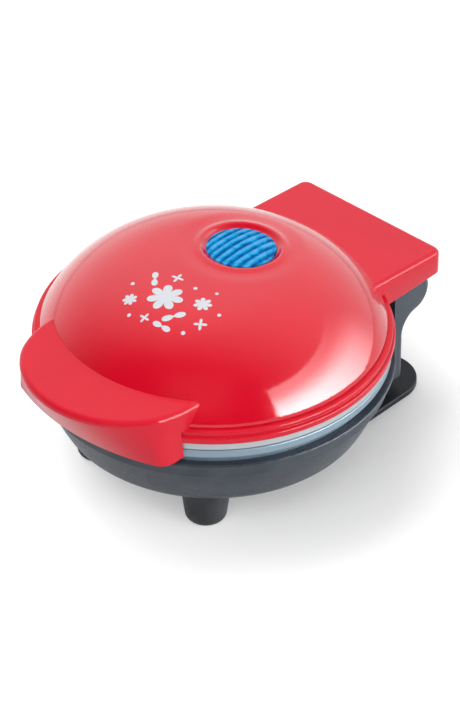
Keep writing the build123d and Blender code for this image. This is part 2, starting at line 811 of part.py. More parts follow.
# Lid frame: the rim band with its bead, the hollow hinge block, the lugs and the handle's tab
band_top = frame_bottom + band_height
bead_z = frame_top - bead_radius
bead_centre = lid_radius - bead_setback
groove = bead_centre - bead_radius / 2
lug_root = frame_inner_radius + root_sink
lug_top = block_top_back - block_roof / 2
with BuildPart() as lid_frame:
    with BuildSketch(Plane.XY.offset(block_bottom)) as block_plan:
        with Locations((0, (block_front + block_back) / 2)):
            Rectangle(block_half_width * 2, block_depth)
        fillet(block_plan.vertices().group_by(Axis.Y)[-1], radius=block_corner_radius)
    extrude(amount=block_top_front - block_bottom)
    slope_cut = outline(
        Plane.YZ,
        (block_front, block_top_front),
        (block_back, block_top_back),
        (block_back + cut_margin, block_top_front + cut_margin),
        (block_front, block_top_front + cut_margin),
    )
    extrude(slope_cut, amount=block_half_width * 2, both=True, mode=Mode.SUBTRACT)
    roof_edges = lid_frame.faces().sort_by(Axis.Z)[-1].edges().sort_by(Axis.Y)
    fillet(roof_edges[1:], radius=block_edge_radius)
    block_hollow = outline(
        Plane.YZ,
        (block_front + block_wall, block_bottom),
        (block_back - block_back_wall, block_bottom),
        (block_back - block_back_wall, block_top_back - block_roof),
        (block_front + block_wall, block_top_front - block_roof),
    )
    extrude(block_hollow, amount=block_half_width - block_wall, both=True, mode=Mode.SUBTRACT)
    for side in (-1, 1):
        with BuildSketch(Plane.YZ.offset(side * lug_inner)):
            with BuildLine():
                Polyline(
                    (lug_root, frame_bottom),
                    (pin_back - lug_radius, frame_bottom),
                    (pin_back - lug_radius, pin_height),
                    (pin_back + lug_radius, pin_height),
                    (pin_back + lug_radius, lug_top),
                    (lug_root, lug_top),
                    close=True,
                )
            make_face()
            with Locations((pin_back, pin_height)):
                Circle(lug_radius)
        extrude(amount=side * lug_thickness)
    revolve(dome_section(-seat_gap, frame_top - cut_margin), axis=Axis.Z, mode=Mode.SUBTRACT)
    with BuildSketch(Plane.XY.offset(frame_bottom)):
        Circle(lug_root)
    extrude(amount=frame_height, mode=Mode.SUBTRACT)
    with BuildSketch(Plane.XY.offset(frame_bottom)):
        Circle(lid_radius - root_sink)
    extrude(amount=block_bottom - frame_bottom, mode=Mode.SUBTRACT)
    with BuildSketch(Plane.XZ):
        with BuildLine():
            Polyline(
                (bead_centre, frame_top),
                (frame_inner_radius, frame_top),
                (frame_inner_radius, frame_bottom),
                (lid_radius, frame_bottom),
                (lid_radius, band_top),
                (groove, band_top + bead_radius / 2),
                (groove, bead_z - bead_radius),
                (bead_centre, bead_z - bead_radius),
            )
            ThreePointArc(
                (bead_centre, bead_z - bead_radius),
                (bead_centre + bead_radius, bead_z),
                (bead_centre, frame_top),
            )
        make_face()
    revolve(axis=Axis.Z)
    with BuildSketch(Plane.XY.offset(frame_bottom)):
        with Locations((0, -(frame_inner_radius + lid_radius + tab_reach) / 2)):
            Rectangle(tab_half_width * 2, lid_radius + tab_reach - frame_inner_radius)
    extrude(amount=tab_thickness)
    post_holes = discs(frame_bottom, post_places, screw_radius + pin_clearance)
    extrude(post_holes, amount=frame_height, mode=Mode.SUBTRACT)
    lug_bore = cross_disc(pin_back, pin_height, pin_radius + pin_clearance)
    extrude(lug_bore, amount=tower_half_width, both=True, mode=Mode.SUBTRACT)

# Lid dome: a pressed cover with a dimple and a hole for the lens, both square to a tilted plane
lens_front_z = dome_z(dimple_radius - lens_back)
lens_back_z = dome_z(dimple_radius + lens_back)
lens_tilt = atan2(lens_front_z - lens_back_z, 2 * dimple_radius)
lens_origin = Vector(0, lens_back, (lens_front_z + lens_back_z) / 2)
lens_normal = Vector(0, sin(lens_tilt), cos(lens_tilt))
lens_plane = Plane(origin=lens_origin, x_dir=(1, 0, 0), z_dir=lens_normal)
lens_section = Plane(origin=lens_origin, x_dir=(1, 0, 0), z_dir=Vector(1, 0, 0).cross(lens_normal))
lens_axis = Axis(lens_origin, lens_normal)
cup_depth = dimple_depth + dome_wall
cup_radius = dimple_radius + dome_wall
with BuildPart() as dome_hollow:
    revolve(dome_section(dome_wall, frame_top), axis=Axis.Z)
    with BuildSketch(lens_plane.offset(-cup_depth)):
        Circle(cup_radius)
    extrude(amount=cup_depth * 2, mode=Mode.SUBTRACT)
with BuildPart() as lid_dome:
    revolve(dome_section(0, frame_top), axis=Axis.Z)
    add(dome_hollow.part, mode=Mode.SUBTRACT)
    dimple = outline(
        lens_section,
        (0, -dimple_depth),
        (lens_radius + rim_ledge, -dimple_depth),
        (dimple_radius, 0),
        (dimple_radius, dimple_depth),
        (0, dimple_depth),
    )
    revolve(dimple, axis=lens_axis, mode=Mode.SUBTRACT)
    with BuildSketch(lens_plane.offset(-cup_depth)):
        Circle(lens_radius + seat_gap)
    extrude(amount=cup_depth, mode=Mode.SUBTRACT)

# Indicator lens: a flanged disc with a crowned top and curved ribs that run front to back
lens_edge = lens_edge_rise - dimple_depth
lens_sag = lens_crown_radius - sqrt(lens_crown_radius**2 - lens_radius**2)
lens_top = lens_edge + lens_sag
crown_origin = lens_plane.from_local_coords((0, 0, lens_top - lens_crown_radius))
flange_bottom = -cup_depth - lens_flange
with BuildPart() as lens_ribs:
    with BuildSketch(lens_section):
        for rib in range(rib_count):
            x = (rib - (rib_count - 1) / 2) * rib_pitch
            crown_here = lens_top - lens_crown_radius + sqrt(lens_crown_radius**2 - x * x)
            with Locations((x, crown_here - rib_sink)):
                Circle(rib_radius)
    revolve(axis=Axis(crown_origin, (1, 0, 0)))
    with BuildSketch(lens_plane.offset(lens_edge - rib_radius)):
        Circle(lens_radius - rib_margin)
    extrude(amount=lens_sag + rib_radius * 2 + cut_margin, mode=Mode.INTERSECT)
with BuildPart() as indicator_lens:
    with BuildSketch(lens_section):
        with BuildLine():
            Polyline(
                (0, lens_top),
                (0, flange_bottom),
                (lens_flange_radius, flange_bottom),
                (lens_flange_radius, -cup_depth),
                (lens_radius, -cup_depth),
                (lens_radius, lens_edge),
            )
            RadiusArc((lens_radius, lens_edge), (0, lens_top), -lens_crown_radius)
        make_face()
    revolve(axis=lens_axis)
    add(lens_ribs.part)

# Lens retainer: a stepped ring pressed round the lens flange from inside
with BuildPart() as lens_retainer:
    revolve(
        outline(
            lens_section,
            (lens_flange_radius + seat_gap, -cup_depth),
            (cup_radius, -cup_depth),
            (cup_radius, flange_bottom - retainer_lip),
            (lens_radius, flange_bottom - retainer_lip),
            (lens_radius, flange_bottom),
            (lens_flange_radius + seat_gap, flange_bottom),
        ),
        axis=lens_axis,
    )

# Upper heat shield: carries the upper plate from the lid frame, and closes off the dome
carrier_foot_radius = frame_inner_radius - carrier_setback
carrier_edge_radius = dome_edge_radius - dome_wall - seat_gap
with BuildPart() as upper_heat_shield:
    revolve(
        outline(
            Plane.XZ,
            (0, upper_shield_z),
            (shield_flat_radius - shield_thickness / 2, upper_shield_z),
            (carrier_foot_radius, frame_top),
            (carrier_edge_radius, frame_top),
            (carrier_edge_radius, frame_top + shield_thickness),
            (carrier_foot_radius + shield_thickness, frame_top + shield_thickness),
            (shield_flat_radius, carrier_top),
            (0, carrier_top),
        ),
        axis=Axis.Z,
    )
    with BuildSketch(Plane.XY.offset(upper_shield_z)):
        with Locations(*boss_places):
            Circle(screw_radius + pin_clearance)
        with Locations((0, shield_flat_radius - lead_hole_inset)):
            Circle(lead_hole_radius)
    extrude(amount=shield_thickness, mode=Mode.SUBTRACT)

upper_plate_screws = screws(boss_places, carrier_top, -1, screw_grip)

# Neon indicator lamp in its holder under the lens
lamp_z = carrier_top + holder_floor + lamp_radius
with BuildPart() as lamp_holder:
    with BuildSketch(Plane.XY.offset(carrier_top)):
        with Locations((0, lens_back)):
            RectangleRounded(holder_width, holder_depth, holder_corner_radius)
    extrude(amount=holder_floor + lamp_radius)
    lamp_cradle = cross_disc(lens_back, lamp_z, lamp_radius + seat_gap)
    extrude(lamp_cradle, amount=holder_width, both=True, mode=Mode.SUBTRACT)
with BuildPart() as indicator_lamp:
    extrude(cross_disc(lens_back, lamp_z, lamp_radius), amount=lamp_length / 2, both=True)
    fillet(indicator_lamp.edges().filter_by(GeomType.CIRCLE), radius=lamp_tip_radius)


def handle_outline(z, inset, straight, corner_x, corner_y, front):
    """The handle's outline at a height: two straight sides, two corners and a front arc."""
    half = handle_half_width - inset
    corner_x -= inset
    corner_y -= inset
    with BuildSketch(Plane.XY.offset(z)) as section:
        with BuildLine():
            right = TangentArc((half, -straight), (corner_x, -corner_y), tangent=(0, -1))
            ThreePointArc(right @ 1, (0, inset - front), (-corner_x, -corner_y))
            left = TangentArc((-half, -straight), (-corner_x, -corner_y), tangent=(0, -1))
            Polyline(left @ 0, (-half, -handle_root), (half, -handle_root), right @ 0)
        make_face()
    return section.sketch


def handle_solid(inset, top_z):
    """The handle's body, lofted from its flat lower outline to its round upper outline."""
    lower_corner_y = handle_lower_front - handle_lower_corner
    lower_corner_x = handle_half_width - handle_side_inset
    split = radians(handle_split_angle)
    upper_corner_x = handle_half_width * cos(split)
    upper_corner_y = handle_centre + handle_half_width * sin(split)
    side_end = lower_corner_y - handle_lower_side
    with BuildPart() as body:
        lower = handle_outline(
            handle_bottom, inset, side_end, lower_corner_x, lower_corner_y, handle_lower_front
        )
        upper = handle_outline(
            top_z, inset, handle_centre, upper_corner_x, upper_corner_y, handle_corner
        )
        loft([lower, upper])
    return body.part


# Handle: a hollow grip, open below, with two posts down to the lid frame's tab
post_bottom = frame_bottom + tab_thickness
with BuildPart() as handle:
    add(handle_solid(0, handle_top))
    roof_edges = handle.faces().sort_by(Axis.Z)[-1].edges().sort_by(Axis.Y)
    fillet(roof_edges[:-1], radius=handle_edge_radius)
    add(handle_solid(handle_wall, handle_top - handle_wall), mode=Mode.SUBTRACT)
    posts = discs(post_bottom, post_places, handle_post_radius)
    extrude(posts, amount=handle_top - handle_wall / 2 - post_bottom)
    revolve(dome_section(-seat_gap, frame_top - cut_margin), axis=Axis.Z, mode=Mode.SUBTRACT)
    with BuildSketch(Plane.XY.offset(handle_bottom)):
        Circle(lid_radius + seat_gap)
    extrude(amount=frame_top - handle_bottom, mode=Mode.SUBTRACT)
    post_bores = discs(post_bottom, post_places, screw_radius + pin_clearance)
    extrude(post_bores, amount=handle_screw_grip - tab_thickness, mode=Mode.SUBTRACT)

handle_screws = screws(post_places, frame_bottom, 1, handle_screw_grip, handle_screw_head)

pieces = {
    "base_housing": base_housing,
    "cord_wrap_plate": cord_wrap_plate,
    "cord_wrap_screws": cord_wrap_screws,
    "front_foot_left": front_foot_left,
    "front_foot_right": front_foot_right,
    "foot_screws": foot_screws,
    "rear_foot_left": rear_foot_left,
    "rear_foot_right": rear_foot_right,
    "hinge_pin": hinge_pin,
    "cord_gland": cord_gland,
    "terminal_block": terminal_block,
    "terminal_screws": terminal_screws,
    "heater_leads": heater_leads,
    "base_screws": base_screws,
    "lower_heat_shield": lower_heat_shield,
    "lower_heater": lower_heater,
    "thermostat": thermostat,
    "thermal_fuse": thermal_fuse,
    "lower_cooking_plate": lower_cooking_plate,
    "lower_trim_ring": lower_trim_ring,
    "lid_frame": lid_frame,
    "lid_dome": lid_dome,
    "handle": handle,
    "handle_screws": handle_screws,
    "upper_trim_ring": upper_trim_ring,
    "upper_cooking_plate": upper_cooking_plate,
    "upper_heater": upper_heater,
    "upper_heat_shield": upper_heat_shield,
    "upper_plate_screws": upper_plate_screws,
    "indicator_lens": indicator_lens,
    "lens_retainer": lens_retainer,
    "lamp_holder": lamp_holder,
    "indicator_lamp": indicator_lamp,
}

# The part's own frame has its origin on the standing surface, under the middle of its length
to_frame = Location((0, (handle_front - block_back) / 2, 0))
os.makedirs("parts", exist_ok=True)
for name, piece in pieces.items():
    placed = piece.part.moved(to_frame)
    placed.label = name
    export_step(placed, f"parts/{name}.step")
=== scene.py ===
"""Mini waffle maker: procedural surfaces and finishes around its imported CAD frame.

Lengths inside the surface functions are millimetres from the round body's axis, with the
handle towards -Y, the hinge towards +Y and the standing surface at Z 0.
"""

from math import cos, pi, radians, sin, tan

import bmesh
import bpy
import numpy as np
from bpy.props import FloatProperty, FloatVectorProperty, PointerProperty
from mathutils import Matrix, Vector


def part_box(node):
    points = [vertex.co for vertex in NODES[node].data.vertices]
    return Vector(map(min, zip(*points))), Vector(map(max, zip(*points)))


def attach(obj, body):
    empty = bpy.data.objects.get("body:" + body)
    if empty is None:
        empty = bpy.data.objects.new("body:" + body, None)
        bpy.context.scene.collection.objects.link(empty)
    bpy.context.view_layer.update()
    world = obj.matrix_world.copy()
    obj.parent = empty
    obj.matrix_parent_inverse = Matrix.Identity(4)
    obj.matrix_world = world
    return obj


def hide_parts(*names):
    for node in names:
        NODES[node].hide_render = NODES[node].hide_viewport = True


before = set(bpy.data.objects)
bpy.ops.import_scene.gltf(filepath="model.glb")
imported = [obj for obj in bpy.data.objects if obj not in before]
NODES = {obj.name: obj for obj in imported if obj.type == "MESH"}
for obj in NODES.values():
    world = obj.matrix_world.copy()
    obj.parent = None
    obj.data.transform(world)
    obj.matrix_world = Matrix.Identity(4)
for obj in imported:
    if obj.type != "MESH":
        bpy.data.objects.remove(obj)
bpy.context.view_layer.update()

bl_info = {
    "name": "Mini waffle maker",
    "version": (1, 0, 0),
    "blender": (4, 5, 0),
    "location": "View3D > Sidebar > Waffle",
    "description": "Makes the lid, base, fittings and studio of a mini waffle maker",
    "category": "Add Mesh",
}

MM = 0.001
AXIS_Y = sum(corner.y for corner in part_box("lower_trim_ring")) / 2

# Round body, heights from the standing surface
LATHE_SEGMENTS = 256
DOME_EDGE_RADIUS = 60.8
FRAME_TOP = 53.2
SHOULDER_RADIUS = 44.0
SHOULDER_CENTRE = (21.492, 34.630)
CROWN_RADIUS = 300.0
CROWN_CENTRE_Z = -220.466
CROWN_REACH = CROWN_RADIUS * SHOULDER_CENTRE[0] / (CROWN_RADIUS - SHOULDER_RADIUS)

# Lens, its dimple and the plane that both are square to
LENS_BACK = 14.3
LENS_Z = 78.655
LENS_TILT = radians(3.17)
LENS_RADIUS = 12.3
LENS_EDGE = -0.8
LENS_CROWN = 60.0
RIB_PITCH = 3.1
RIB_HEIGHT = 0.62
RIB_SINK = 0.22
DIMPLE_DEPTH = 1.35
MOAT_DEPTH = 0.42
DIMPLE_REACH = 21.0
DIMPLE_SLOPE = (12.5, 14.9)
MOAT_INSIDE = (15.0, 17.4)
MOAT_OUTSIDE = (17.6, 23.5)
DOME_WALL = 1.5

# Rim of the lid, and the two trim rings under it
RIM_FOOT = 48.6
RIM_INNER = 57.2
RIM_OUTER = 63.5
RIM_GROOVE = 62.35
RIM_BEAD = 62.75
BAND_INNER = 55.0
BAND_STEP = 56.7
BAND_OUTER = 62.4

# Hinge block over the rear of the rim, and its lugs
BLOCK_HALF_WIDTH = 33.0
BLOCK_FRONT = 47.0
BLOCK_BACK = 84.4
BLOCK_BOTTOM = 47.5
BLOCK_TOP_BACK = 56.6
BLOCK_SLOPE = 0.077
PIN = (72.9, 42.0)
LUG_REACH = 6.4
LUG_WIDTH = 6.5
LUG_SIDES = (-22.2, 15.7)

# Studio. The camera's target (across, height) and the floor are in millimetres, the lamps (name, place, size)
# and the floor's painted shadow in metres, and the azimuths in degrees from +X
CAMERA_TARGET = (7.82, 43.78)
LAMPS = (
    ("key", (-0.65, -0.05, 1.15), 1.0),
    ("side", (1.2, 0.15, 0.7), 0.7),
    ("front", (0.55, -0.9, 1.0), 0.9),
)
FLOOR_REACH = 3000
# Painted shadow on the floor: its glow to the camera is lower within these distances of this centre, so the
# floor is darker near the object
PAINTED_SHADOW_CENTRE = (0.02, 0.02, 0)
PAINTED_SHADOW_FADE = (0.03, 0.09)
PAINTED_SHADOW_LIFT = (0.24, 0.5)
MIRROR_LIFT = 0.32
WINDOW_AZIMUTH = 34.5
SWEEP_AZIMUTH = 112


def unit(vector):
    """The vector divided by its length, along the last axis."""
    return vector / np.linalg.norm(vector, axis=-1, keepdims=True)


def smooth(edge0, edge1, value):
    """Cubic step from 0 at edge0 to 1 at edge1: 3t^2 - 2t^3 of the clipped share t."""
    share = np.clip((value - edge0) / (edge1 - edge0), 0, 1)
    return share * share * (3 - 2 * share)


def dome_height(radius):
    """Height of the dome over a distance from the axis: a crown arc, then a shoulder arc tangent to it."""
    crown = CROWN_CENTRE_Z + np.sqrt(CROWN_RADIUS**2 - radius**2)
    lean = np.clip(radius - SHOULDER_CENTRE[0], 0, SHOULDER_RADIUS)
    shoulder = SHOULDER_CENTRE[1] + np.sqrt(SHOULDER_RADIUS**2 - lean**2)
    return np.where(radius < CROWN_REACH, crown, shoulder)


def rounded(corners, steps=6, hold=0.12):
    """A closed outline through (x, y, radius) corners, each replaced by the arc tangent to its two
    sides. A point is held beside each end of an arc, so that the flat side stays flat when shaded."""
    corners = np.array(corners, float)
    place, radius = corners[:, :2], corners[:, 2:]
    before = np.roll(place, 1, 0) - place
    after = np.roll(place, -1, 0) - place
    lengths = np.linalg.norm(after, axis=1)
    before, after = unit(before), unit(after)
    half = np.arccos(np.clip((before * after).sum(1, keepdims=True), -1, 1)) / 2
    cut = radius / np.tan(half)
    spare = lengths - cut[:, 0] - np.roll(cut[:, 0], -1)
    held_after = np.minimum(hold, np.maximum(spare, 0) * 0.4)
    held_before = np.roll(held_after, 1)
    centre = place + unit(before + after) * radius / np.sin(half)
    start, end = place + before * cut, place + after * cut
    sweep = (pi - 2 * half)[:, None, :]
    share = np.linspace(0, 1, steps)[None, :, None]
    arcs = centre[:, None] + (
        np.sin((1 - share) * sweep) * (start - centre)[:, None]
        + np.sin(share * sweep) * (end - centre)[:, None]
    ) / np.sin(sweep)
    arcs = np.where(radius[:, None] > 0, arcs, place[:, None])
    first = (start + before * held_before[:, None])[:, None]
    last = (end + after * held_after[:, None])[:, None]
    return np.concatenate([first, arcs, last], 1).reshape(-1, 2)


def lathe(profile):
    """A (radius, height) profile carried round the axis: rows follow the profile, columns the turn."""
    turn = np.linspace(0, 2 * pi, LATHE_SEGMENTS, endpoint=False)
    radius, height = np.array(profile, float).T[..., None]
    return np.stack([radius * np.cos(turn), radius * np.sin(turn), height + 0 * turn], -1)


def slab(outline, low, high, edge, axis, steps=4):
    """A flat outline given a thickness along one axis, its two rims rounded by shrinking the outline
    towards its inside along a quarter circle."""
    outline = np.array(outline, float)
    along = unit(np.roll(outline, -1, 0) - np.roll(outline, 1, 0))
    inward = np.stack([-along[:, 1], along[:, 0]], 1)
    turn = np.linspace(0, pi / 2, steps)
    shrink = np.concatenate([edge * (1 - np.sin(turn)), edge * (1 - np.cos(turn))])
    level = np.concatenate([low + edge * (1 - np.cos(turn)), high - edge * (1 - np.sin(turn))])
    flat = outline[None] + inward[None] * shrink[:, None, None]
    stack = np.repeat(level[:, None, None], len(outline), 1)
    rows = np.concatenate([flat, stack], -1)
    order = {"X": (2, 0, 1), "Z": (0, 1, 2)}[axis]
    return rows[..., order]


def build_piece(name, grids, material, body, replaced=(), solid=True, crease=38):
    """One object from grids of points, each with its rows or columns closed or not. Doubles are
    merged, holes capped and faces turned outwards, and the finished mesh lies in the frame."""
    vertices, faces, offset = [], [], 0
    for points, close_rows, close_columns in grids:
        rows, columns = points.shape[:2]
        index = np.arange(rows * columns).reshape(rows, columns) + offset
        if close_rows:
            index = np.vstack([index, index[:1]])
        if close_columns:
            index = np.hstack([index, index[:, :1]])
        corners = (index[:-1, :-1], index[1:, :-1], index[1:, 1:], index[:-1, 1:])
        faces.append(np.stack(corners, -1).reshape(-1, 4))
        vertices.append(points.reshape(-1, 3))
        offset += rows * columns
    vertices = np.concatenate(vertices) * MM + (0, AXIS_Y, 0)
    mesh = bpy.data.meshes.new(name)
    mesh.from_pydata(vertices.tolist(), [], np.concatenate(faces).tolist())
    work = bmesh.new()
    work.from_mesh(mesh)
    bmesh.ops.remove_doubles(work, verts=work.verts, dist=2e-6)
    bmesh.ops.dissolve_degenerate(work, edges=work.edges, dist=1e-7)
    if solid:
        bmesh.ops.holes_fill(work, edges=[e for e in work.edges if e.is_boundary], sides=0)
        bmesh.ops.recalc_face_normals(work, faces=work.faces)
    work.to_mesh(mesh)
    work.free()
    mesh.shade_smooth()
    mesh.set_sharp_from_angle(angle=radians(crease))
    piece = bpy.data.objects.new(name, mesh)
    bpy.context.scene.collection.objects.link(piece)
    mesh.materials.append(material)
    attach(piece, body)
    if replaced:
        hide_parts(*replaced)
    return piece


# Finishes

_finishes = {}


def linear(colour):
    """A display colour, each channel 0 to 255, as the linear values that a shader takes."""
    share = np.array(colour, float) / 255
    values = np.where(share <= 0.04045, share / 12.92, ((share + 0.055) / 1.055) ** 2.4)
    return tuple(float(value) for value in values)


class Tree:
    """The shader nodes of a material or a world, made and joined in short calls."""

    def __init__(self, owner, empty=False):
        owner.use_nodes = True
        self.tree = owner.node_tree
        if empty:
            self.tree.nodes.clear()

    def put(self, socket, given):
        """Join an input to a socket, or set it to a value."""
        if isinstance(given, bpy.types.NodeSocket):
            self.tree.links.new(given, socket)
        else:
            socket.default_value = given

    def node(self, kind, **inputs):
        """A node whose inputs are given by name."""
        made = self.tree.nodes.new(kind)
        for name, given in inputs.items():
            self.put(made.inputs[name.replace("_", " ")], given)
        return made

    def ordered(self, kind, *inputs, operation=None):
        """A node whose inputs are given in their own order, with an operation where it has one."""
        made = self.tree.nodes.new(kind)
        if operation:
            made.operation = operation
        for socket, given in zip(made.inputs, inputs):
            self.put(socket, given)
        return made

    def math(self, operation, *inputs):
        """Number worked out from numbers."""
        return self.ordered("ShaderNodeMath", *inputs, operation=operation).outputs["Value"]

    def measure(self, operation, *inputs):
        """Number worked out from vectors."""
        return self.ordered("ShaderNodeVectorMath", *inputs, operation=operation).outputs["Value"]

    def spread(self, value, low, high, first=0, second=1, kind="LINEAR"):
        """Value that runs from first to second as another runs from low to high."""
        made = self.node(
            "ShaderNodeMapRange", Value=value, From_Min=low, From_Max=high, To_Min=first, To_Max=second
        )
        made.interpolation_type = kind
        return made.outputs["Result"]

    def step(self, value, *limits):
        """The same, easing in and out."""
        return self.spread(value, *limits, kind="SMOOTHSTEP")


class Finish(Tree):
    """A material under construction, with its Principled shader and Object coordinates."""

    def __init__(self, name, **sockets):
        self.material = bpy.data.materials.new(name)
        super().__init__(self.material)
        self.shader = self.tree.nodes["Principled BSDF"]
        for socket, value in sockets.items():
            self.shader.inputs[socket.replace("_", " ")].default_value = value
        self.object = self.node("ShaderNodeTexCoord").outputs["Object"]

    def join(self, output, socket):
        self.tree.links.new(output, self.shader.inputs[socket])

    def noise(self, scale, detail=3.0, roughness=0.55, vector=None):
        """Fractal noise over the object, its scale in features per metre."""
        vector = vector or self.object
        made = self.node("ShaderNodeTexNoise", Vector=vector, Scale=scale, Detail=detail, Roughness=roughness)
        return made.outputs["Fac"]

    def ramp(self, value, low, high, first, second, *between):
        """Colour that runs from first to second as a value runs from low to high, by way of any
        further (value, colour) stops."""
        made = self.node("ShaderNodeValToRGB", Fac=value)
        stops = made.color_ramp.elements
        stops[0].position, stops[1].position = low, high
        stops[0].color, stops[1].color = (*first, 1), (*second, 1)
        for position, colour in between:
            stops.new(position).color = (*colour, 1)
        return made.outputs["Color"]

    def bump(self, height, strength, distance, normal=None):
        """Normals tilted by a height pattern, on top of another such pattern where one is given."""
        made = self.node("ShaderNodeBump", Height=height, Strength=strength, Distance=distance)
        if normal:
            self.put(made.inputs["Normal"], normal)
        return made.outputs["Normal"]


def lacquer(name, colour, roughness, coat, peel):
    """Pigmented paint under a clear coat: faint flow marks, a slow tint drift and dust-fine scuffs."""
    deep = tuple(channel * 0.93 for channel in colour)
    finish = Finish(name, Coat_Weight=coat, Coat_Roughness=0.06, Coat_IOR=1.5, Specular_IOR_Level=0.12)
    drift = finish.noise(38, 2)
    finish.join(finish.ramp(drift, 0.3, 0.7, deep, colour), "Base Color")
    scuff = finish.noise(2600, 2)
    finish.join(finish.spread(scuff, 0.35, 0.75, roughness, roughness + 0.07), "Roughness")
    flow = finish.bump(finish.noise(420, 2), peel, 0.0004)
    finish.join(flow, "Coat Normal")
    finish.join(finish.bump(finish.noise(1500, 3), peel * 0.8, 0.0002, flow), "Normal")
    return finish.material


def moulded(name, colour, roughness, grain=0.25, wear=0.08, sheen=0.5):
    """Moulded plastic: spark-eroded grain, slightly uneven gloss and a paler bloom in scattered spots."""
    pale = tuple(channel + wear * (0.35 - channel) for channel in colour)
    finish = Finish(name, IOR=1.46, Specular_IOR_Level=sheen)
    cloud = finish.noise(90, 4)
    finish.join(finish.ramp(cloud, 0.35, 0.75, colour, pale), "Base Color")
    gloss = finish.spread(finish.noise(700, 3), 0.3, 0.7, roughness - 0.05, roughness + 0.07)
    finish.join(gloss, "Roughness")
    fine = finish.bump(finish.noise(5200, 3, 0.65), grain, 0.00012)
    finish.join(finish.bump(finish.noise(1700, 2), grain * 0.5, 0.0002, fine), "Normal")
    return finish.material


def metal(name, colour, roughness, stretch=(1, 1, 60), streak=0.12):
    """Bare metal: streaks drawn out along one direction, in its gloss, tint and fine relief."""
    finish = Finish(name, Metallic=1.0)
    drawn = finish.node("ShaderNodeMapping", Vector=finish.object, Scale=stretch).outputs["Vector"]
    lines = finish.noise(220, 4, 0.7, drawn)
    dull = tuple(channel * 0.82 for channel in colour)
    finish.join(finish.ramp(lines, 0.3, 0.7, dull, colour), "Base Color")
    finish.join(finish.spread(lines, 0.3, 0.7, roughness, roughness + streak), "Roughness")
    finish.join(finish.bump(lines, 0.15, 0.0001), "Normal")
    return finish.material


def turned_band(name, colour, roughness):
    """Painted rim band: fine turning lines that run round the axis, from height alone."""
    finish = Finish(name, Metallic=0.25, IOR=1.45)
    parts = finish.node("ShaderNodeSeparateXYZ", Vector=finish.object)
    height = finish.node("ShaderNodeCombineXYZ", Z=parts.outputs["Z"]).outputs["Vector"]
    lines = finish.noise(5200, 3, 0.6, height)
    pale = tuple(channel * 1.12 for channel in colour)
    finish.join(finish.ramp(lines, 0.35, 0.65, colour, pale), "Base Color")
    cloud = finish.noise(160, 3)
    finish.join(finish.spread(cloud, 0.3, 0.7, roughness, roughness + 0.1), "Roughness")
    finish.join(finish.bump(lines, 0.2, 0.0001), "Normal")
    return finish.material


def non_stick(name):
    """Non-stick coating: near-black, with pale flecks, an even stipple and a dull sheen."""
    finish = Finish(name, IOR=1.4, Coat_Weight=0.25, Coat_Roughness=0.35)
    flecks = finish.noise(2400, 4, 0.7)
    finish.join(finish.ramp(flecks, 0.62, 0.72, (0.014, 0.014, 0.015), (0.07, 0.07, 0.072)), "Base Color")
    finish.join(finish.spread(finish.noise(240, 3), 0.3, 0.7, 0.42, 0.58), "Roughness")
    finish.join(finish.bump(finish.noise(3200, 3), 0.35, 0.00015), "Normal")
    return finish.material


def rubber(name, colour):
    """Soft rubber: matte, with a talc-like bloom and a fine pebble."""
    finish = Finish(name, IOR=1.42)
    bloom = tuple(channel + 0.03 for channel in colour)
    finish.join(finish.ramp(finish.noise(260, 4), 0.4, 0.75, colour, bloom), "Base Color")
    finish.join(finish.spread(finish.noise(900, 3), 0.3, 0.7, 0.68, 0.85), "Roughness")
    finish.join(finish.bump(finish.noise(3800, 3), 0.4, 0.00015), "Normal")
    return finish.material


def clear_blue(name, colour):
    """Tinted clear moulding with painted light on its ribs: painted navy shade in the grooves, azure on the
    slopes and a painted cyan highlight on the crests, following the cosine of the crosswise place, with
    cloudy depth, a hard gloss and a faint painted glow in its own tint."""
    finish = Finish(name, Roughness=0.3, Specular_IOR_Level=0.03, Coat_Weight=0.1, Coat_Roughness=0.04)
    across = finish.node("ShaderNodeSeparateXYZ", Vector=finish.object).outputs["X"]
    wave = finish.math("COSINE", finish.math("MULTIPLY", across, 2 * pi / (RIB_PITCH * MM)))
    painted_rib_light = finish.spread(wave, -1, 1, 0.12, 0.78)
    cloud = finish.spread(finish.noise(300, 4, 0.65), 0.3, 0.7, -0.3, 0.26)
    # Painted shade: navy for the grooves of the ribs, and a painted cyan highlight for their crests below
    deep = tuple(channel * share for channel, share in zip(colour, (0, 0.26, 0.42)))
    painted_crest_highlight = tuple(channel + 0.13 * (1 - channel) for channel in colour)
    tint = finish.ramp(finish.math("ADD", painted_rib_light, cloud), 0.05, 1.0, deep, painted_crest_highlight, (0.5, colour))
    finish.join(tint, "Base Color")
    # Painted glow: the lens gives off light in its tint, painted shade and highlight included, though it is
    # no lamp
    finish.join(tint, "Emission Color")
    finish.shader.inputs["Emission Strength"].default_value = 0.12
    finish.join(finish.bump(finish.noise(700, 2), 0.08, 0.0002), "Normal")
    return finish.material


def glaze(name, colour, roughness, clear=0.0):
    """Small inner parts: ceramic, sleeve or glass, with a mottled tint and fine relief."""
    finish = Finish(name, IOR=1.5, Transmission_Weight=clear)
    shade = tuple(channel * 0.85 for channel in colour)
    finish.join(finish.ramp(finish.noise(400, 3), 0.3, 0.7, shade, colour), "Base Color")
    finish.join(finish.spread(finish.noise(1200, 3), 0.3, 0.7, roughness, roughness + 0.1), "Roughness")
    finish.join(finish.bump(finish.noise(2600, 3), 0.15, 0.0001), "Normal")
    return finish.material


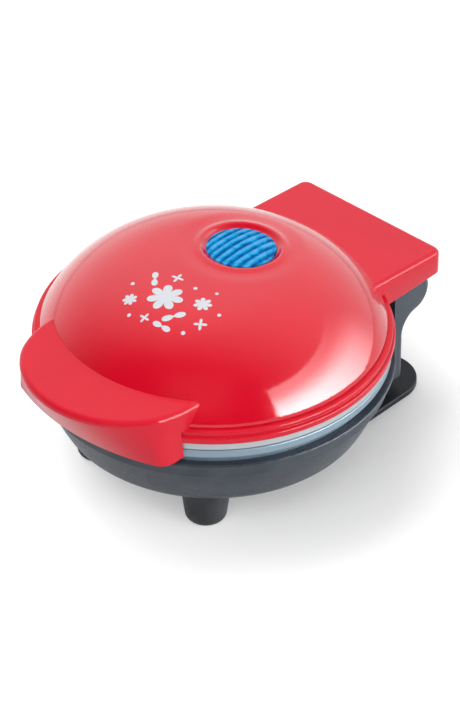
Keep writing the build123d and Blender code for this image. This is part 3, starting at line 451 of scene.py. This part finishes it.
def finish_for(slot):
    """The material of a slot, made once from the colours in the panel."""
    if slot not in _finishes:
        colours = bpy.context.scene.waffle_colours
        charcoal = tuple(colours.charcoal)
        # Painted shade: the base charcoal at a third of its value, for the cord wrap plate, which sits in the
        # shade under the body
        shade = tuple(channel * 0.3 for channel in charcoal)
        makers = {
            "dome_red": (lacquer, tuple(colours.lacquer), 0.22, 1.0, 0.05),
            "lid_red": (lacquer, tuple(colours.satin_red), 0.36, 0.3, 0.06),
            "base_grey": (moulded, charcoal, 0.42),
            "plate_grey": (moulded, shade, 0.4, 0.25, 0.01, 0.2),
            "print_white": (moulded, linear((206, 210, 216)), 0.45, 0.05, 0.02),
            "foot_grey": (moulded, tuple(colours.foot), 0.55, 0.35),
            "pad_rubber": (rubber, (0.03, 0.03, 0.032)),
            "gland_rubber": (rubber, (0.02, 0.02, 0.022)),
            "upper_band": (turned_band, tuple(colours.upper_band), 0.34),
            "lower_band": (turned_band, tuple(colours.lower_band), 0.36),
            "plate_coating": (non_stick,),
            "heater_sheath": (metal, (0.32, 0.29, 0.26), 0.38),
            "shield_metal": (metal, (0.74, 0.75, 0.76), 0.3, (1, 40, 1)),
            "steel": (metal, (0.62, 0.62, 0.63), 0.25),
            "fuse_metal": (metal, (0.7, 0.66, 0.55), 0.3),
            "terminal_cream": (glaze, (0.72, 0.66, 0.5), 0.45),
            "lead_sleeve": (glaze, (0.78, 0.76, 0.7), 0.6),
            "lens_blue": (clear_blue, tuple(colours.lens)),
            "holder_white": (glaze, (0.8, 0.8, 0.78), 0.5),
            "lamp_glass": (glaze, (0.95, 0.55, 0.3), 0.1, 0.7),
        }
        maker, *settings = makers[slot]
        _finishes[slot] = maker(slot, *settings)
    return _finishes[slot]


# Settings shown in the panel


class WaffleColours(bpy.types.PropertyGroup):
    """Colours of the painted and moulded surfaces."""

    lacquer: FloatVectorProperty(
        name="Dome red", description="Gloss paint of the dome",
        subtype="COLOR", default=linear((214, 8, 38)),
    )
    satin_red: FloatVectorProperty(
        name="Satin red", description="Paint of the rim, hinge block and handle",
        subtype="COLOR", default=linear((214, 26, 48)),
    )
    charcoal: FloatVectorProperty(
        name="Charcoal", description="Moulded plastic of the base",
        subtype="COLOR", default=linear((46, 55, 66)),
    )
    foot: FloatVectorProperty(
        name="Foot grey", description="Moulded plastic of the front feet",
        subtype="COLOR", default=linear((30, 34, 39)),
    )
    upper_band: FloatVectorProperty(
        name="Upper band", description="Trim ring of the lid",
        subtype="COLOR", default=linear((178, 184, 188)),
    )
    lower_band: FloatVectorProperty(
        name="Lower band", description="Trim ring of the base",
        subtype="COLOR", default=linear((132, 152, 166)),
    )
    lens: FloatVectorProperty(
        name="Lens blue", description="Tint of the indicator lens",
        subtype="COLOR", default=linear((0, 144, 204)),
    )


class WaffleStudio(bpy.types.PropertyGroup):
    """Camera and light."""

    azimuth: FloatProperty(
        name="Azimuth", description="Camera's turn from behind the handle",
        subtype="ANGLE", default=radians(42.913),
    )
    elevation: FloatProperty(
        name="Elevation", description="Camera's height over the floor",
        subtype="ANGLE", default=radians(36.8),
    )
    distance: FloatProperty(
        name="Distance", description="Camera to its target",
        subtype="DISTANCE", unit="LENGTH", default=1.4,
    )
    focal_length: FloatProperty(
        name="Focal length", description="Camera lens, in millimetres", default=204.516
    )
    sweep_strength: FloatProperty(
        name="Sweep", description="Brightness of the white sweep behind and above", default=1.15
    )
    window_strength: FloatProperty(
        name="Window", description="Brightness of the window at the right", default=22.0
    )
    key_power: FloatProperty(
        name="Key light", description="Power of the lamp at the left, in watts", default=11.2
    )
    side_power: FloatProperty(
        name="Side light", description="Power of the lamp at the right, in watts", default=3.4
    )
    front_power: FloatProperty(
        name="Front light", description="Power of the lamp by the camera, in watts", default=10.0
    )


# Operators: the stage, then one for each piece or group of like pieces


class WAFFLE_OT_stage(bpy.types.Operator):
    """Make the floor, the studio light and the camera"""

    bl_idname = "waffle.stage"
    bl_label = "Stage"

    def execute(self, context):
        studio = context.scene.waffle_studio
        self.add_camera(context.scene, studio)
        self.add_floor(context.scene)
        self.add_world(context.scene, studio)
        for name, place, size in LAMPS:
            self.add_lamp(context.scene, name, place, size, getattr(studio, f"{name}_power"))
        context.scene.view_settings.view_transform = "Standard"
        return {"FINISHED"}

    def add_camera(self, scene, studio):
        """Camera on a sphere round its target, level, with the photograph's field of view."""
        across, height = CAMERA_TARGET
        target = Vector((across * MM, AXIS_Y, height * MM))
        level = cos(studio.elevation)
        back = Vector((sin(studio.azimuth) * level, -cos(studio.azimuth) * level, sin(studio.elevation)))
        data = bpy.data.cameras.new("photo_camera")
        data.sensor_fit = "VERTICAL"
        data.sensor_height = 36
        data.lens = studio.focal_length
        camera = bpy.data.objects.new("photo_camera", data)
        camera.location = target + back * studio.distance
        camera.rotation_euler = back.to_track_quat("Z", "Y").to_euler()
        scene.collection.objects.link(camera)
        scene.camera = camera

    def add_floor(self, scene):
        """Wide flat sheet, grid-divided, in matte white that keeps shadows. To the camera it also glows,
        least near the object and lifting to white further out, by a smooth step of the distance from a centre
        beside the object: a painted shadow round the object."""
        steps = np.linspace(-FLOOR_REACH, FLOOR_REACH, 13)
        x, y = np.meshgrid(steps, steps)
        points = np.stack([x, y, 0 * x], -1) * MM
        index = np.arange(points.shape[0] * points.shape[1]).reshape(points.shape[:2])
        corners = (index[:-1, :-1], index[:-1, 1:], index[1:, 1:], index[1:, :-1])
        mesh = bpy.data.meshes.new("floor")
        mesh.from_pydata(points.reshape(-1, 3).tolist(), [], np.stack(corners, -1).reshape(-1, 4).tolist())
        floor = bpy.data.objects.new("floor", mesh)
        scene.collection.objects.link(floor)
        paper = bpy.data.materials.new("paper_white")
        tree = Tree(paper, empty=True)
        rays = tree.node("ShaderNodeLightPath").outputs
        place = tree.node("ShaderNodeTexCoord").outputs["Object"]
        # Painted shadow: the camera sees less glow near the object, so the floor is painted darker there
        away = tree.measure("DISTANCE", place, PAINTED_SHADOW_CENTRE)
        camera_glow_with_painted_shadow = tree.math("MULTIPLY", rays["Is Camera Ray"], tree.step(away, *PAINTED_SHADOW_FADE, *PAINTED_SHADOW_LIFT))
        lift = tree.math("MULTIPLY_ADD", rays["Is Glossy Ray"], MIRROR_LIFT, camera_glow_with_painted_shadow)
        matte = tree.node("ShaderNodeBsdfDiffuse", Color=(0.72, 0.72, 0.722, 1))
        glow = tree.node("ShaderNodeEmission", Color=(1, 1, 1, 1), Strength=lift)
        both = tree.ordered("ShaderNodeAddShader", matte.outputs[0], glow.outputs[0])
        tree.node("ShaderNodeOutputMaterial", Surface=both.outputs[0])
        mesh.materials.append(paper)

    def add_world(self, scene, studio):
        """White to the camera. Other rays meet a studio: a white sweep behind the object that fades
        upwards, a window-like panel at the right that fades away from its hard edge, and dim surroundings."""
        world = bpy.data.worlds.new("studio")
        scene.world = world
        tree = Tree(world, empty=True)
        math, step = tree.math, tree.step
        direction = tree.node("ShaderNodeTexCoord").outputs["Generated"]

        def towards(azimuth):
            """Share of a ray's direction along a compass direction."""
            return tree.measure("DOT_PRODUCT", direction, (cos(radians(azimuth)), sin(radians(azimuth)), 0))

        def inside(value, *edges):
            """1 below the first edge and 0 above the second, both in degrees."""
            return math("SUBTRACT", 1, step(value, *(radians(edge) for edge in edges)))

        rays = tree.node("ShaderNodeLightPath").outputs
        rise = math("ARCSINE", tree.node("ShaderNodeSeparateXYZ", Vector=direction).outputs["Z"])
        turn = math("ARCTAN2", towards(WINDOW_AZIMUTH + 90), towards(WINDOW_AZIMUTH))
        window = math("SUBTRACT", inside(turn, -30, 50), inside(turn, -44, -41))
        window = math("MULTIPLY", window, inside(rise, 38, 41))
        window = math("MULTIPLY", window, math("MULTIPLY_ADD", inside(rise, 14, 35), 0.8, 0.2))
        sweep = step(towards(SWEEP_AZIMUTH), -0.6, 0.6)
        mirrored = math("MULTIPLY_ADD", rays["Is Glossy Ray"], 0.88, 0.12)
        lit = math("MULTIPLY_ADD", rays["Is Glossy Ray"], 0.7, 0.3)
        shine = math("MULTIPLY", math("MULTIPLY", window, studio.window_strength), mirrored)
        glow = math("MULTIPLY_ADD", math("MULTIPLY", sweep, studio.sweep_strength), lit, 0.04)
        white = (1, 1, 1, 1)
        room = tree.node("ShaderNodeBackground", Color=white, Strength=math("ADD", shine, glow))
        backdrop = tree.node("ShaderNodeBackground", Color=white)
        mix = tree.ordered("ShaderNodeMixShader", rays["Is Camera Ray"], room.outputs[0], backdrop.outputs[0])
        tree.node("ShaderNodeOutputWorld", Surface=mix.outputs[0])

    def add_lamp(self, scene, name, place, size, power):
        """One large soft lamp that faces the object and shows in no reflection."""
        data = bpy.data.lights.new(name, "AREA")
        data.size = size
        data.energy = power
        lamp = bpy.data.objects.new(name, data)
        lamp.location = place
        lamp.rotation_euler = Vector(place).to_track_quat("Z", "Y").to_euler()
        lamp.visible_glossy = False
        scene.collection.objects.link(lamp)


class WAFFLE_OT_dome(bpy.types.Operator):
    """Make the pressed dome of the lid, with the dimple round its lens"""

    bl_idname = "waffle.dome"
    bl_label = "Dome"

    def execute(self, context):
        turn = np.linspace(0, 2 * pi, LATHE_SEGMENTS, endpoint=False)
        inner, outer = np.linspace(LENS_RADIUS + 0.1, 17.4, 26), np.linspace(17.8, DIMPLE_REACH, 9)
        collar = np.concatenate([inner, outer])
        share = np.linspace(0, 1, 58)[1:] ** 0.85
        radius = np.concatenate([collar, DIMPLE_REACH + share * (DOME_EDGE_RADIUS - DIMPLE_REACH)])
        centre = np.concatenate([np.full(len(collar), LENS_BACK), LENS_BACK * (1 - share)])
        x = radius[:, None] * np.cos(turn)
        y = centre[:, None] + radius[:, None] * np.sin(turn)
        skin = dome_height(np.hypot(x, y))
        plane = LENS_Z - (y - LENS_BACK) * tan(LENS_TILT)
        from_lens = np.hypot(x, y - LENS_BACK)
        sunk = 1 - smooth(*DIMPLE_SLOPE, from_lens)
        moat = smooth(*MOAT_INSIDE, from_lens) * (1 - smooth(*MOAT_OUTSIDE, from_lens))
        z = skin + sunk * (plane - DIMPLE_DEPTH - skin) - MOAT_DEPTH * moat
        rows = np.stack([x, y, z], -1)
        hole = rows[:1] - (0, 0, 1.6)
        lip = rows[:1] - (0, 0, 0.12)
        skirt = np.stack([rows[-1]] * 3)
        skirt[0, :, 2] = FRAME_TOP + 0.35
        skirt[1, :, 2] = FRAME_TOP + 0.1
        skirt[2, :, 2] = FRAME_TOP
        skirt[2, :, :2] *= 0.996
        grid = np.concatenate([hole, lip, rows, skirt])
        paint = finish_for("dome_red")
        dome = build_piece(
            "dome", [(grid, False, True)], paint, "lid", ["lid_dome"], solid=False, crease=50
        )
        wall = dome.modifiers.new("wall", "SOLIDIFY")
        wall.thickness = DOME_WALL * MM
        wall.offset = -1
        wall.use_even_offset = True
        return {"FINISHED"}


class WAFFLE_OT_lens(bpy.types.Operator):
    """Make the ribbed indicator lens in the dimple of the dome"""

    bl_idname = "waffle.lens"
    bl_label = "Lens"

    def execute(self, context):
        turn = np.linspace(0, 2 * pi, 288, endpoint=False)
        face = np.linspace(0.05, LENS_RADIUS - 0.3, 88)
        radius = np.concatenate([face, LENS_RADIUS - np.array([0.15, 0.05, 0, 0, 0])])
        across = radius[:, None] * np.cos(turn)
        along = radius[:, None] * np.sin(turn)
        crown = LENS_EDGE + np.sqrt(LENS_CROWN**2 - radius**2) - np.sqrt(LENS_CROWN**2 - LENS_RADIUS**2)
        wave = np.abs(np.cos(pi * across / RIB_PITCH)) ** 0.8
        fade = 1 - smooth(10.9, 11.5, radius)[:, None]
        rise = crown[:, None] + fade * (RIB_HEIGHT * wave - RIB_SINK)
        drop = np.concatenate([0 * face, [0.02, 0.1, 0.3, 1.0, 2.8]])
        rise = rise - drop[:, None]
        base = np.stack([across[:1], along[:1], rise[-1:]], -1)
        rows = np.concatenate([np.stack([across, along, rise], -1), base])
        lean = np.array([
            [1, 0, 0], [0, cos(LENS_TILT), -sin(LENS_TILT)], [0, sin(LENS_TILT), cos(LENS_TILT)],
        ])
        points = rows @ lean + (0, LENS_BACK, LENS_Z)
        tint = finish_for("lens_blue")
        build_piece("lens", [(points, False, True)], tint, "lid", ["indicator_lens"], crease=60)
        return {"FINISHED"}


class WAFFLE_OT_frame(bpy.types.Operator):
    """Make the lid's rim with its bead, the hinge block, its two lugs and the tab under the handle"""

    bl_idname = "waffle.frame"
    bl_label = "Lid frame"

    def execute(self, context):
        paint = finish_for("lid_red")
        rim = rounded([
            (RIM_INNER, RIM_FOOT, 0.2), (RIM_OUTER, RIM_FOOT, 0.4), (RIM_OUTER, 50.9, 0.7),
            (RIM_GROOVE, 51.15, 0.2), (RIM_GROOVE, 51.5, 0.1), (RIM_BEAD, 51.65, 0.7),
            (RIM_BEAD, FRAME_TOP, 0.72), (RIM_INNER, FRAME_TOP, 0.2),
        ])
        build_piece("rim", [(lathe(rim), True, True)], paint, "lid", ["lid_frame"])
        build_piece("hinge_block", [(self.block(), False, False)], paint, "lid", crease=50)
        front, back, foot = PIN[0] - LUG_REACH, PIN[0] + LUG_REACH, PIN[1] - LUG_REACH
        bend = LUG_REACH - 0.05
        lug = rounded([
            (58, RIM_FOOT, 0), (front, RIM_FOOT, 0.3), (front, foot, bend),
            (back, foot, bend), (back, 55.6, 0), (58, 55.6, 0),
        ])
        lugs = [(slab(lug, low, low + LUG_WIDTH, 0.4, "X"), False, True) for low in LUG_SIDES]
        build_piece("hinge_lugs", lugs, paint, "lid")
        tab = rounded([(-16, -67.2, 1.0), (16, -67.2, 1.0), (16, -58, 0), (-16, -58, 0)])
        plate = slab(tab, RIM_FOOT, 51.0, 0.3, "Z")
        build_piece("handle_tab", [(plate, False, True)], paint, "lid")
        return {"FINISHED"}

    def block(self):
        """Open box over a three-sided plan with rounded rear corners: columns follow the plan from one
        front end to the other, rows follow its section from the middle of the roof over the rounded
        edge, down the wall, round its foot and back up inside to the middle of the ceiling."""
        steps = 10
        corners = rounded([
            (-BLOCK_HALF_WIDTH, BLOCK_FRONT, 0), (BLOCK_HALF_WIDTH, BLOCK_FRONT, 0),
            (BLOCK_HALF_WIDTH, BLOCK_BACK, 3.6), (-BLOCK_HALF_WIDTH, BLOCK_BACK, 3.6),
        ], steps, 0.3)
        rear = corners[2 * (steps + 2):]
        plan = np.concatenate([[(BLOCK_HALF_WIDTH, BLOCK_FRONT)], rear, [(-BLOCK_HALF_WIDTH, BLOCK_FRONT)]])
        along = unit(np.gradient(plan, axis=0))
        inward = np.stack([-along[:, 1], along[:, 0]], 1)
        edge, foot, wall, roof = 1.7, 0.35, 1.6, 2.0
        turn = np.linspace(0, pi / 2, 8)
        small = turn[::2]
        inset = np.concatenate([
            edge * (1 - np.cos(turn[::-1])),
            foot * (1 - np.cos(small)), wall - foot * (1 - np.cos(small[::-1])), [wall],
        ])
        below_top = edge * (1 - np.sin(turn[::-1]))
        above_foot = np.concatenate([foot * (1 - np.sin(small)), foot * (1 - np.sin(small[::-1]))])
        flat = plan[None] + inward[None] * inset[:, None, None]
        slope = BLOCK_TOP_BACK + BLOCK_SLOPE * (BLOCK_BACK - flat[..., 1])
        height = np.concatenate([
            slope[: len(turn)] - below_top[:, None],
            BLOCK_BOTTOM + above_foot[:, None] + 0 * plan[None, :, 0],
            slope[-1:] - roof,
        ])
        rows = np.concatenate([flat, height[..., None]], -1)
        crown, ceiling = rows[:1] * (0, 1, 1), rows[-1:] * (0, 1, 1)
        hold = rows[:1] + (rows[:1] * (0, 1, 1) - rows[:1]) * 0.01
        return np.concatenate([crown, hold, rows, ceiling])


class WAFFLE_OT_print(bpy.types.Operator):
    """Make the pale printed motifs on the dome's front left: a blossom, leaves, stars and dots"""

    bl_idname = "waffle.print"
    bl_label = "Print"

    def execute(self, context):
        blossom, leaf, star, dot = (7, 0.42, 0.6), (2, 0.05, 4.0), (4, 0.25, 2.6), (1, 1.0, 1.0)
        motifs = (
            (1.5, -25.5, 6.4, 20, blossom), (13.8, -20.0, 3.3, 80, blossom), (-8.0, -33.2, 2.6, 10, blossom),
            (10.2, -30.6, 4.2, 55, leaf), (9.6, -36.0, 3.6, 5, leaf), (-8.2, -20.6, 3.8, 130, leaf),
            (-2.4, -15.4, 2.4, 10, star), (19.6, -27.4, 2.4, 35, star), (2.2, -36.6, 2.0, 0, star),
            (6.2, -15.6, 0.75, 0, dot), (17.4, -33.6, 0.75, 0, dot), (-12.6, -27.0, 0.75, 0, dot),
            (21.6, -20.2, 0.7, 0, dot), (-3.4, -38.4, 0.7, 0, dot), (13.6, -12.8, 0.65, 0, dot),
        )
        grids = [(self.motif(*motif), False, True) for motif in motifs]
        build_piece("dome_print", grids, finish_for("print_white"), "lid", crease=60)
        return {"FINISHED"}

    def motif(self, x, y, size, turn, shape):
        """A thin closed patch that follows the dome. Its outline is a polar curve whose radius swings
        with the cosine of the lobe count times the angle, between an inner share and the full size."""
        lobes, inner, sharpness = shape
        angle = np.linspace(0, 2 * pi, 24 * lobes, endpoint=False)
        swing = np.abs(np.cos(lobes * angle / 2)) ** sharpness
        reach = size * (inner + (1 - inner) * swing)
        share = np.array([1, 1, 0.97, 0.8, 0.55, 0.3, 0.02])[:, None]
        lift = np.array([-0.12, 0.0, 0.04, 0.04, 0.04, 0.04, 0.04])[:, None]
        across = x + share * reach * np.cos(angle + radians(turn))
        along = y + share * reach * np.sin(angle + radians(turn))
        return np.stack([across, along, dome_height(np.hypot(across, along)) + lift], -1)


class WAFFLE_OT_bands(bpy.types.Operator):
    """Make the two trim rings that show as grey bands under the lid"""

    bl_idname = "waffle.bands"
    bl_label = "Trim rings"

    def execute(self, context):
        lower = rounded([
            (BAND_INNER, 38.0, 0), (60.6, 38.0, 0), (60.6, 42.1, 0.1), (BAND_OUTER, 42.1, 0.25),
            (BAND_OUTER, 45.1, 0.5), (BAND_STEP, 45.1, 0.1), (BAND_STEP, 43.6, 0.1), (BAND_INNER, 43.6, 0.1),
        ])
        upper = rounded([
            (BAND_INNER, RIM_FOOT, 0.1), (BAND_INNER, 46.9, 0.1), (BAND_STEP, 46.9, 0.1),
            (BAND_STEP, 45.4, 0.1), (BAND_OUTER, 45.4, 0.45), (BAND_OUTER, RIM_FOOT, 0.3),
        ])
        for side, profile, body in (("lower", lower, "base"), ("upper", upper, "lid")):
            name, ring = f"{side}_band", (lathe(profile), True, True)
            build_piece(name, [ring], finish_for(name), body, [f"{side}_trim_ring"])
        return {"FINISHED"}


class WAFFLE_OT_finishes(bpy.types.Operator):
    """Give each CAD node that stays a procedural finish for its material slot, some nodes sharing one, and
    the cord wrap plate a far darker copy of the base finish as painted shade
    """

    bl_idname = "waffle.finishes"
    bl_label = "Finishes"

    def execute(self, context):
        for node in NODES.values():
            slot = node.data.materials[0].name
            node.data.materials.clear()
            # Painted shade: the cord wrap plate gets the darker copy of the base finish in place of its own
            # slot's finish
            in_painted_shade = node.name.startswith("cord_wrap_plate")
            node.data.materials.append(finish_for("plate_grey" if in_painted_shade else slot))
        return {"FINISHED"}


class WAFFLE_PT_panel(bpy.types.Panel):
    """Lists the settings and the steps in order"""

    bl_idname = "WAFFLE_PT_panel"
    bl_label = "Mini waffle maker"
    bl_space_type = "VIEW_3D"
    bl_region_type = "UI"
    bl_category = "Waffle"

    def draw(self, context):
        for group in (context.scene.waffle_colours, context.scene.waffle_studio):
            box = self.layout.box()
            for name in group.__annotations__:
                box.prop(group, name)
        for operator in OPERATORS:
            self.layout.operator(operator.bl_idname)


OPERATORS = (
    WAFFLE_OT_stage, WAFFLE_OT_finishes, WAFFLE_OT_dome, WAFFLE_OT_print, WAFFLE_OT_lens, WAFFLE_OT_frame,
    WAFFLE_OT_bands,
)
CLASSES = (WaffleColours, WaffleStudio, *OPERATORS, WAFFLE_PT_panel)


def register():
    for item in CLASSES:
        bpy.utils.register_class(item)
    bpy.types.Scene.waffle_colours = PointerProperty(type=WaffleColours)
    bpy.types.Scene.waffle_studio = PointerProperty(type=WaffleStudio)


def unregister():
    del bpy.types.Scene.waffle_studio
    del bpy.types.Scene.waffle_colours
    for item in reversed(CLASSES):
        bpy.utils.unregister_class(item)


def main():
    """Registers the add-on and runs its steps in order."""
    register()
    for operator in OPERATORS:
        family, step = operator.bl_idname.split(".")
        getattr(getattr(bpy.ops, family), step)()


if __name__ == "__main__":
    main()
